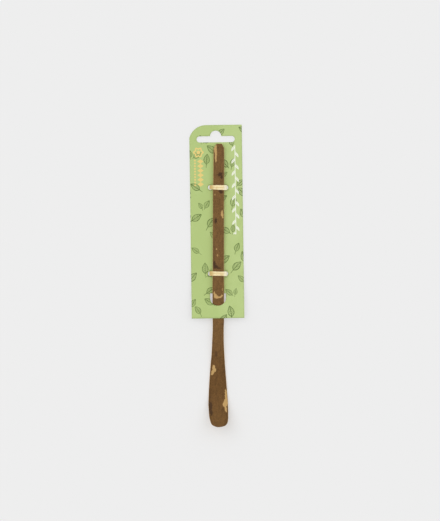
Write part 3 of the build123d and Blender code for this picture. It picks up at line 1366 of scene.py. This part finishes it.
    def flat_mesh(self) -> tuple[list[Point], list[tuple[int, ...]]]:
        """Fills the board with even triangles.

        Returns:
            The places, and the corners of each triangle.
        """
        loops = self.loops()
        points, edges = [], []
        for loop in loops:
            first = len(points)
            points += loop
            edges += [(first + i, first + (i + 1) % len(loop)) for i in range(len(loop))]
        points += self.grid(loops)
        corners = [Vector(point) for point in points]
        made = delaunay_2d_cdt(corners, edges, [], 0, self.merge_distance)
        places = [tuple(corner) for corner in made[0]]
        faces = []
        for face in made[2]:
            (ax, ay), (bx, by), (cx, cy) = (places[i] for i in face)
            area = abs((bx - ax) * (cy - ay) - (by - ay) * (cx - ax)) / 2
            centre = ((ax + bx + cx) / 3, (ay + by + cy) / 3)
            if area > self.smallest_face and encloses(loops, centre):
                faces.append(tuple(face))
        return places, faces

    def mark_face(self, face: bmesh.types.BMFace, layer: bmesh.types.BMLayerItem,
                  corners: Sequence[Point]) -> None:
        """Writes each corner's place on the leaf that is nearest to the face.

        Args:
            face: The face.
            layer: The layer that holds the place along and aside, and the bend of the leaf.
            corners: The face's corners as places across and down, in its own order.
        """
        centre = tuple(sum(corner[a] for corner in corners) / 3 for a in (0, 1))
        near = min(self.leaves, key=lambda leaf: leaf.apart(centre))
        for loop, corner in zip(face.loops, corners):
            loop[layer] = (*near.local(corner), near.bend)

    def build(self) -> bpy.types.Object:
        """Builds the card's mesh, dresses it and stands it in for the plain one.

        Returns:
            The card.
        """
        places, triangles = self.flat_mesh()
        bm = bmesh.new()
        layer = bm.loops.layers.float_vector.new("leaf")
        front, back = [], []
        for across, down in places:
            low = self.back_height + self.lift(across, down)
            front.append(bm.verts.new(self.layout.point(across, down, low + self.thickness)))
            back.append(bm.verts.new(self.layout.point(across, down, low)))
        rank = {vert: i for i, vert in enumerate(front)}
        for triangle in triangles:
            for verts, side in ((front, Side.PRINTED), (back, Side.BACK)):
                face = bm.faces.new([verts[i] for i in triangle])
                face.smooth = True
                face.material_index = side.value
                if side is Side.PRINTED:
                    self.mark_face(face, layer, [places[i] for i in triangle])
        for edge in [e for e in bm.edges if e.is_boundary and e.verts[0] in rank]:
            a, b = (rank[vert] for vert in edge.verts)
            wall = bm.faces.new((front[a], front[b], back[b], back[a]))
            wall.material_index = Side.CORE.value
        bmesh.ops.delete(bm, geom=[v for v in bm.verts if not v.link_faces], context="VERTS")
        bmesh.ops.recalc_face_normals(bm, faces=bm.faces)
        card = finished("printed_card", bm)
        for finish in (
            PrintedFront(self.layout, self.length, self.middle, self.tilt),
            PlainBoard(self.layout, "board_back", *self.back_tones, Grain(3.0, 4.0)),
            PlainBoard(self.layout, "board_core", *self.core_tones, Grain(7.0, 4.0)),
        ):
            card.data.materials.append(finish.material())
        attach(card, "card")
        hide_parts("hang_card")
        return card


@dataclass(frozen=True)
class Raffia:
    """Dry raffia: cream, with fine lengthwise fibres and golden patches where it dried darker, golden in
    its middle groove and towards the left by painted shade, and pale towards the right by a painted sheen.
    """

    layout: Layout
    painted_sheen: Colour = linear(241, 232, 203)
    pale: Colour = linear(252, 236, 192)
    cream: Colour = linear(234, 210, 155)
    golden: Colour = linear(204, 174, 108)
    specular: float = 0.2
    roughness: Span = (0.42, 0.62)
    fibres: Grain = Grain(0.7, 4.0)
    fibres_across: float = 22.0
    fibre_run: Span = (0.38, 0.66)
    gloss_run: Span = (0.3, 0.7)
    drift: Grain = Grain(0.35, 2.0)
    drift_run: Span = (0.5, 0.8)
    drift_opacity: float = 0.5
    # Painted shade: golden in the middle groove of the folded strip.
    groove_painted_shade_run: Span = (0.34, 0.0)
    groove_painted_shade_opacity: float = 0.6
    # Painted shade golden towards the left end, and a painted sheen pale towards the right end.
    left_painted_shade_run: Span = (-2.0, -4.6)
    left_painted_shade_opacity: float = 0.9
    painted_sheen_run: Span = (2.6, 4.6)
    relief: Relief = Relief(0.05, 0.8)

    def material(self) -> bpy.types.Material:
        """Builds the raffia's material.

        Returns:
            The material.
        """
        shader = Shader("raffia", self.specular)
        strand = shader.layer("strand")
        along, aside, _ = shader.split(strand)
        across = shader.split(shader.place(self.layout))[0]
        lanes = shader.node("CombineXYZ", {0: along, 1: shader.product(aside, self.fibres_across)})
        fibres = shader.grain(lanes.outputs[0], self.fibres)
        colour = shader.blend(shader.ramp(fibres, *self.fibre_run), self.pale, self.cream)
        away = shader.math("ABSOLUTE", aside)
        # The drift is the raffia's own golden patches; the groove and the left end are painted shade, and
        # the pale right end is a painted sheen.
        for place, run, opacity in (
            (shader.grain(strand, self.drift), self.drift_run, self.drift_opacity),
            (away, self.groove_painted_shade_run, self.groove_painted_shade_opacity),
            (across, self.left_painted_shade_run, self.left_painted_shade_opacity),
        ):
            colour = shader.blend(shader.ramp(place, *run, 0.0, opacity), colour, self.golden)
        colour = shader.blend(shader.ramp(across, *self.painted_sheen_run), colour, self.painted_sheen)
        shader.give("Base Color", colour)
        shader.give("Roughness", shader.ramp(fibres, *self.gloss_run, *self.roughness))
        shader.press(fibres, self.relief)
        return shader.material


class Station(NamedTuple):
    """A place along a strip of raffia: its middle, the way across the strip, and its width."""

    centre: Vector
    aside: Vector
    width: float


@dataclass(frozen=True)
class Strip:
    """A strip of raffia: its section, folded lengthwise, and how its faces and edges wander.

    The heights of fold and waves are shares of the thickness, and the edges wander by a share of
    the width. The powers tell how near the edges the body and the fold fade out.
    """

    thickness: float = 0.26
    points: int = 13
    body_power: int = 4
    fold_height: float = 0.135
    fold_beat: float = 1.9
    fold_power: int = 3
    wave_height: float = 0.28
    wave_along: float = 0.35
    wave_aside: float = 1.7
    edge_wander: float = 0.06
    edge_along: float = 0.5
    phase_run: float = 7.0
    least_height: float = 0.01
    weld_distance: float = 1e-5

    def ring(self, station: Station, out: Vector, run: float, phase: int) -> list[tuple]:
        """Draws the strip's section at one place along it.

        Args:
            station: The place.
            out: The way out of the strip's face.
            run: How far along the strip it is.
            phase: Where the strip's unevenness starts.

        Returns:
            Each corner, and its mark: the place along and aside on the strip, and the face.
        """
        corners = []
        for face in (1, -1):
            for k in range(self.points):
                share = mix(-1, 1, k / (self.points - 1)) * face
                body = math.sqrt(max(1 - share**self.body_power, 0.0))
                fold = math.cos(share * math.pi * self.fold_beat)
                fold *= 1 - abs(share) ** self.fold_power
                spot = Vector((run * self.wave_along + phase, share * self.wave_aside, phase))
                lift = face / 2 + self.wave_height * noise.noise(spot) - self.fold_height * fold
                spot = Vector((run * self.edge_along, phase, share))
                half = station.width / 2 * (1 + self.edge_wander * noise.noise(spot))
                corner = station.centre + station.aside * share * half
                corner += out * self.thickness * body * lift
                corner.z = max(corner.z, self.least_height)
                corners.append((corner, (run + phase * self.phase_run, share, face)))
        return corners

    def face(self, bm: bmesh.types.BMesh, layer: bmesh.types.BMLayerItem,
             corners: Sequence[tuple]) -> bmesh.types.BMFace:
        """Adds one face of the strip.

        Args:
            bm: The mesh to add to.
            layer: The layer that holds the marks.
            corners: The face's corners, each with its mark.

        Returns:
            The face.
        """
        face = bm.faces.new([vert for vert, _ in corners])
        for loop, (_, mark) in zip(face.loops, corners):
            loop[layer] = mark
        return face

    def lay(self, bm: bmesh.types.BMesh, line: Sequence[Station], closed: bool, phase: int,
            place: Callable[[Vector], Vector]) -> None:
        """Lays a strip along a line, its upper and its lower face still apart.

        Args:
            bm: The mesh to add to.
            line: The line, about the tie's own middle with y up.
            closed: Whether the strip meets its own start.
            phase: Where its unevenness starts, so that no two strips are alike.
            place: Turns a place about the tie's middle into one in the model's frame.
        """
        layers = bm.loops.layers.float_vector
        layer = layers.get("strand") or layers.new("strand")
        rings, run, count = [], 0.0, len(line)
        for i, station in enumerate(line):
            before = line[(i - 1) % count].centre if closed or i else station.centre
            after = line[(i + 1) % count].centre if closed or i < count - 1 else station.centre
            out = (after - before).normalized().cross(station.aside).normalized()
            ring = self.ring(station, out, run, phase)
            rings.append([(bm.verts.new(place(corner)), mark) for corner, mark in ring])
            run += (after - before).length / 2
        for near, far in zip(rings, rings[1:] + (rings[:1] if closed else [])):
            for row in (0, self.points):
                for k in range(row, row + self.points - 1):
                    corners = (near[k], near[k + 1], far[k + 1], far[k])
                    self.face(bm, layer, corners).smooth = True
        for end in [] if closed else (rings[0][::-1], rings[-1]):
            self.face(bm, layer, end)

    def weld(self, bm: bmesh.types.BMesh) -> None:
        """Welds each strip's upper and lower face along its two edges, which stay crisp.

        Args:
            bm: The mesh that all the strips are in.
        """
        for edge in bm.edges:
            edge.smooth = not edge.is_boundary
        bmesh.ops.remove_doubles(bm, verts=bm.verts, dist=self.weld_distance * MM)


class Wrap(NamedTuple):
    """One wrap of a knot: its turn from across, in degrees, and its height at the middle."""

    turn: float
    height: float


@dataclass
class RaffiaTie:
    """One raffia strip over the scoop, through two holes and knotted behind the card.

    The widths are those over the scoop, at its left, middle and right, and the seed sets the
    strip's unevenness.
    """

    layout: Layout
    name: str
    node: str
    down: float
    seed: int
    widths: tuple
    strip: Strip = Strip()
    neck_width: float = 2.20
    widening: Span = (1.3, 2.6)
    span: float = 10.75
    offset: float = -0.04
    slant: float = 0.02
    over_height: float = 3.96
    over_places: tuple = (3.2, 2.4, 1.6, 0.8)
    over_drop_share: float = 0.8
    shoulder_height: float = 3.53
    shoulder_radius: float = 1.15
    shoulder_turn: float = 78.0
    under_height: float = 0.80
    under_radius: float = 0.38
    under_places: tuple = (0.0, 1.4, 2.8)
    under_lead: float = 0.3
    round_steps: int = 5
    path_steps: int = 4
    wraps: tuple = (Wrap(34.0, 0.20), Wrap(-30.0, 0.36))
    wrap_reach: float = 2.05
    wrap_width: float = 1.75
    wrap_taper: float = 0.25
    wrap_sag: float = 2.4
    wrap_steps: int = 14
    wrap_phase: int = 3
    tail_foot: Point = (0.6, 0.2)
    tail_length: float = 7.812
    tail_width: float = 1.75
    tail_end_share: float = 0.72
    tail_height: float = 0.40
    tail_arch: float = 0.22
    tail_turn: float = 28.0
    tail_curl: float = 0.35
    tail_curl_beat: float = 3.0
    tail_steps: int = 17
    tail_phase: int = 6

    def path(self) -> list[Point]:
        """Draws the strip's closed path, starting behind the card.

        Returns:
            The path's points as places across and heights.
        """
        half = self.span / 2 + self.strip.thickness / 2
        low, inner, outer = self.under_height, self.under_radius, self.shoulder_radius
        right = [(x, low) for x in (*self.under_places, half - inner - self.under_lead)]
        right += arc((half - inner, low + inner), inner, -90, 0, self.round_steps)
        centre = (half - outer, self.shoulder_height - outer)
        right += arc(centre, outer, 0, self.shoulder_turn, self.round_steps)
        for x in self.over_places:
            drop = (x / (half - outer)) ** 2 * self.over_drop_share
            right.append((x, mix(self.over_height, self.shoulder_height, drop)))
        left = [(-x, z) for x, z in reversed(right[1:])]
        return right + [(0.0, self.over_height)] + left

    def loop(self) -> list[Station]:
        """Draws the strip's closed line over the scoop and back behind the card.

        Returns:
            The stations of the line, narrow in the holes and wide over the scoop.
        """
        path = self.path()
        low, high = self.widening
        line = []
        for x, z in curve_through(path + path[:1], self.path_steps)[:-1]:
            above = smooth((z - low) / (high - low))
            end = self.widths[0] if x < 0 else self.widths[2]
            full = mix(self.widths[1], end, smooth(abs(x) / (self.span / 2)))
            x += self.offset
            centre = Vector((x, -self.slant * x * above, z))
            line.append(Station(centre, Vector((0, 1, 0)), mix(self.neck_width, full, above)))
        return line

    def wrap(self, wrap: Wrap) -> list[Station]:
        """Draws one wrap of the knot, over the strip behind the card.

        Args:
            wrap: The wrap.

        Returns:
            The stations of its line.
        """
        radians = math.radians(wrap.turn)
        along = Vector((math.cos(radians), math.sin(radians), 0))
        aside = Vector((-math.sin(radians), math.cos(radians), 0))
        line = []
        for i in range(self.wrap_steps + 1):
            share = mix(-1, 1, i / self.wrap_steps)
            height = mix(wrap.height, self.under_height, abs(share) ** self.wrap_sag)
            centre = along * share * self.wrap_reach + Vector((0, 0, height))
            line.append(Station(centre, aside, self.wrap_width * (1 - self.wrap_taper * share**2)))
        return line

    def tail(self, side: int) -> list[Station]:
        """Draws one of the strip's two cut ends, which stand out of the knot.

        Args:
            side: The side it stands out to, -1 for the left and 1 for the right.

        Returns:
            The stations of its line.
        """
        line = []
        for i in range(self.tail_steps + 1):
            share = i / self.tail_steps
            curl = self.tail_curl * math.sin(share * self.tail_curl_beat + self.seed + side)
            turn = math.radians(self.tail_turn) * (1 + curl)
            step = Vector((side * math.cos(turn), math.sin(turn), 0))
            centre = Vector((side * self.tail_foot[0], self.tail_foot[1], 0))
            centre += step * self.tail_length * share
            centre.z = self.tail_height + self.tail_arch * math.sin(share * math.pi) ** 2
            aside = Vector((-step.y, step.x, 0)) * side
            line.append(Station(centre, aside, self.tail_width * mix(1.0, self.tail_end_share, share)))
        return line

    def place(self, local: Vector) -> Vector:
        """A place in the model's frame, from one about the tie's own middle with y up."""
        return self.layout.point(local.x, self.down - local.y, local.z)

    def build(self) -> bpy.types.Object:
        """Builds the strip with its knot, dresses it and stands it in for the plain one.

        Returns:
            The tie.
        """
        bm = bmesh.new()
        self.strip.lay(bm, self.loop(), True, self.seed, self.place)
        for number, wrap in enumerate(self.wraps):
            phase = self.seed + self.wrap_phase + number
            self.strip.lay(bm, self.wrap(wrap), False, phase, self.place)
        for side in (-1, 1):
            phase = self.seed + self.tail_phase + side
            self.strip.lay(bm, self.tail(side), False, phase, self.place)
        self.strip.weld(bm)
        bmesh.ops.recalc_face_normals(bm, faces=bm.faces)
        tie = finished(self.name, bm)
        tie.data.materials.append(Raffia(self.layout).material())
        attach(tie, "card")
        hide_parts(self.node)
        return tie


@dataclass(frozen=True)
class Lamp:
    """A broad far lamp: the way towards it, and its share of the light on a level face."""

    name: str
    towards: tuple
    strength: float


@dataclass
class Studio:
    """The pale floor, the soft light and the camera over the middle of the picture."""

    layout: Layout
    picture_width: int = 440
    picture_height: int = 521
    scale: float = 0.635
    scoop_pixel_across: float = 218.4
    scoop_pixel_down: float = 143.9
    lens: float = 400.0
    sensor: float = 36.0
    nearest: float = 10.0
    farthest: float = 20000.0
    floor_tone: Colour = linear(238, 238, 238)
    floor_roughness: float = 0.9
    floor_reach: float = 3000.0
    floor_drop: float = 0.03
    # Glow shares down the floor: painted light that keeps the shadows faint by the card and deep at the
    # tip.
    card_glow: float = 0.82
    neck_glow: float = 0.50
    tip_glow: float = 0.30
    neck_run: Span = (62.0, 96.0)
    tip_run: Span = (128.0, 160.0)
    sky_strength: float = 0.80
    lamps: tuple = (Lamp("key", (-0.75, 0.55, 1.15), 0.13), Lamp("fill", (0.75, 0.35, 1.00), 0.07))
    lamp_width: float = 50.0

    def hang_camera(self) -> None:
        """Hangs the camera straight over the picture's middle."""
        across = (self.picture_width / 2 - self.scoop_pixel_across) * self.scale
        down = (self.picture_height / 2 - self.scoop_pixel_down) * self.scale
        distance = self.picture_height * self.scale * self.lens / self.sensor
        data = bpy.data.cameras.new("camera")
        data.lens = self.lens
        data.sensor_width = self.sensor
        data.clip_start = self.nearest * MM
        data.clip_end = self.farthest * MM
        camera = bpy.data.objects.new("camera", data)
        camera.location = self.layout.point(across, down, distance)
        bpy.context.scene.collection.objects.link(camera)
        bpy.context.scene.camera = camera

    def glow(self, shader: Shader) -> Socket:
        """How much of the floor is its own glow, and not lit or shaded.

        Args:
            shader: The floor's material under construction.

        Returns:
            The glow's share, strong by the flat card and weak at the tip: painted light that keeps the
            card's shadow faint and the tip's deep.
        """
        rays = shader.node("LightPath").outputs
        seen = [rays[name] for name in ("Is Camera Ray", "Is Glossy Ray", "Is Transmission Ray")]
        down = shader.split(shader.place(self.layout))[1]
        # Painted light: the glow's share changes down the floor, lightening the shadow by the card more
        # than at the tip.
        level = shader.ramp(down, *self.neck_run, self.card_glow, self.neck_glow)
        drop = shader.ramp(down, *self.tip_run, 0.0, self.tip_glow - self.neck_glow)
        return shader.product(shader.largest(*seen), shader.math("ADD", level, drop))

    def lay_floor(self) -> None:
        """Lays the floor, just under the table's level."""
        bm = bmesh.new()
        bmesh.ops.create_grid(bm, x_segments=1, y_segments=1, size=self.floor_reach * MM)
        bmesh.ops.translate(bm, verts=bm.verts, vec=(0, 0, -self.floor_drop * MM))
        floor = finished("floor", bm)
        shader = Shader("pale_floor", 0.0)
        shader.give("Base Color", self.floor_tone)
        shader.give("Roughness", self.floor_roughness)
        light = shader.node("Emission", {"Color": self.floor_tone, "Strength": 1.0})
        sockets = {0: self.glow(shader), 1: shader.principled.outputs[0], 2: light.outputs[0]}
        both = shader.node("MixShader", sockets).outputs[0]
        shader.fill(shader.tree.nodes["Material Output"].inputs["Surface"], both)
        floor.data.materials.append(shader.material)

    def light(self) -> None:
        """Lights the object evenly from the whole sky, and by the lamps at its upper sides."""
        world = bpy.data.worlds.new("sky")
        world.use_nodes = True
        background = world.node_tree.nodes["Background"]
        background.inputs["Color"].default_value = (1, 1, 1, 1)
        background.inputs["Strength"].default_value = self.sky_strength
        bpy.context.scene.world = world
        for lamp in self.lamps:
            self.hang_lamp(lamp)

    def hang_lamp(self, lamp: Lamp) -> None:
        """Hangs one lamp.

        Args:
            lamp: The lamp.
        """
        data = bpy.data.lights.new(lamp.name, "SUN")
        data.angle = math.radians(self.lamp_width)
        towards = Vector(lamp.towards).normalized()
        data.energy = lamp.strength * math.pi / towards.z
        hung = bpy.data.objects.new(lamp.name, data)
        hung.location = towards
        hung.rotation_mode = "QUATERNION"
        hung.rotation_quaternion = towards.to_track_quat("Z", "Y")
        bpy.context.scene.collection.objects.link(hung)

    def build(self) -> None:
        """Sets up the studio and the picture's view settings."""
        self.lay_floor()
        self.light()
        self.hang_camera()
        bpy.context.scene.view_settings.view_transform = "Standard"


def main() -> None:
    """Builds the studio and each piece in turn, and reports them."""
    logging.basicConfig(level=logging.INFO, format="%(name)s: %(message)s")
    layout = Layout.from_frame(frame["record"], LOWER_TIE_DOWN)
    Studio(layout).build()
    for maker in (
        Scoop(layout),
        HangCard(layout),
        RaffiaTie(layout, "raffia_upper", "upper_tie", UPPER_TIE_DOWN, 2, (2.5, 2.95, 3.15)),
        RaffiaTie(layout, "raffia_lower", "lower_tie", LOWER_TIE_DOWN, 5, (2.95, 2.6, 2.95)),
    ):
        piece = maker.build()
        LOG.info("%s has %d faces", piece.name, len(piece.data.polygons))


if __name__ == "__main__":
    main()
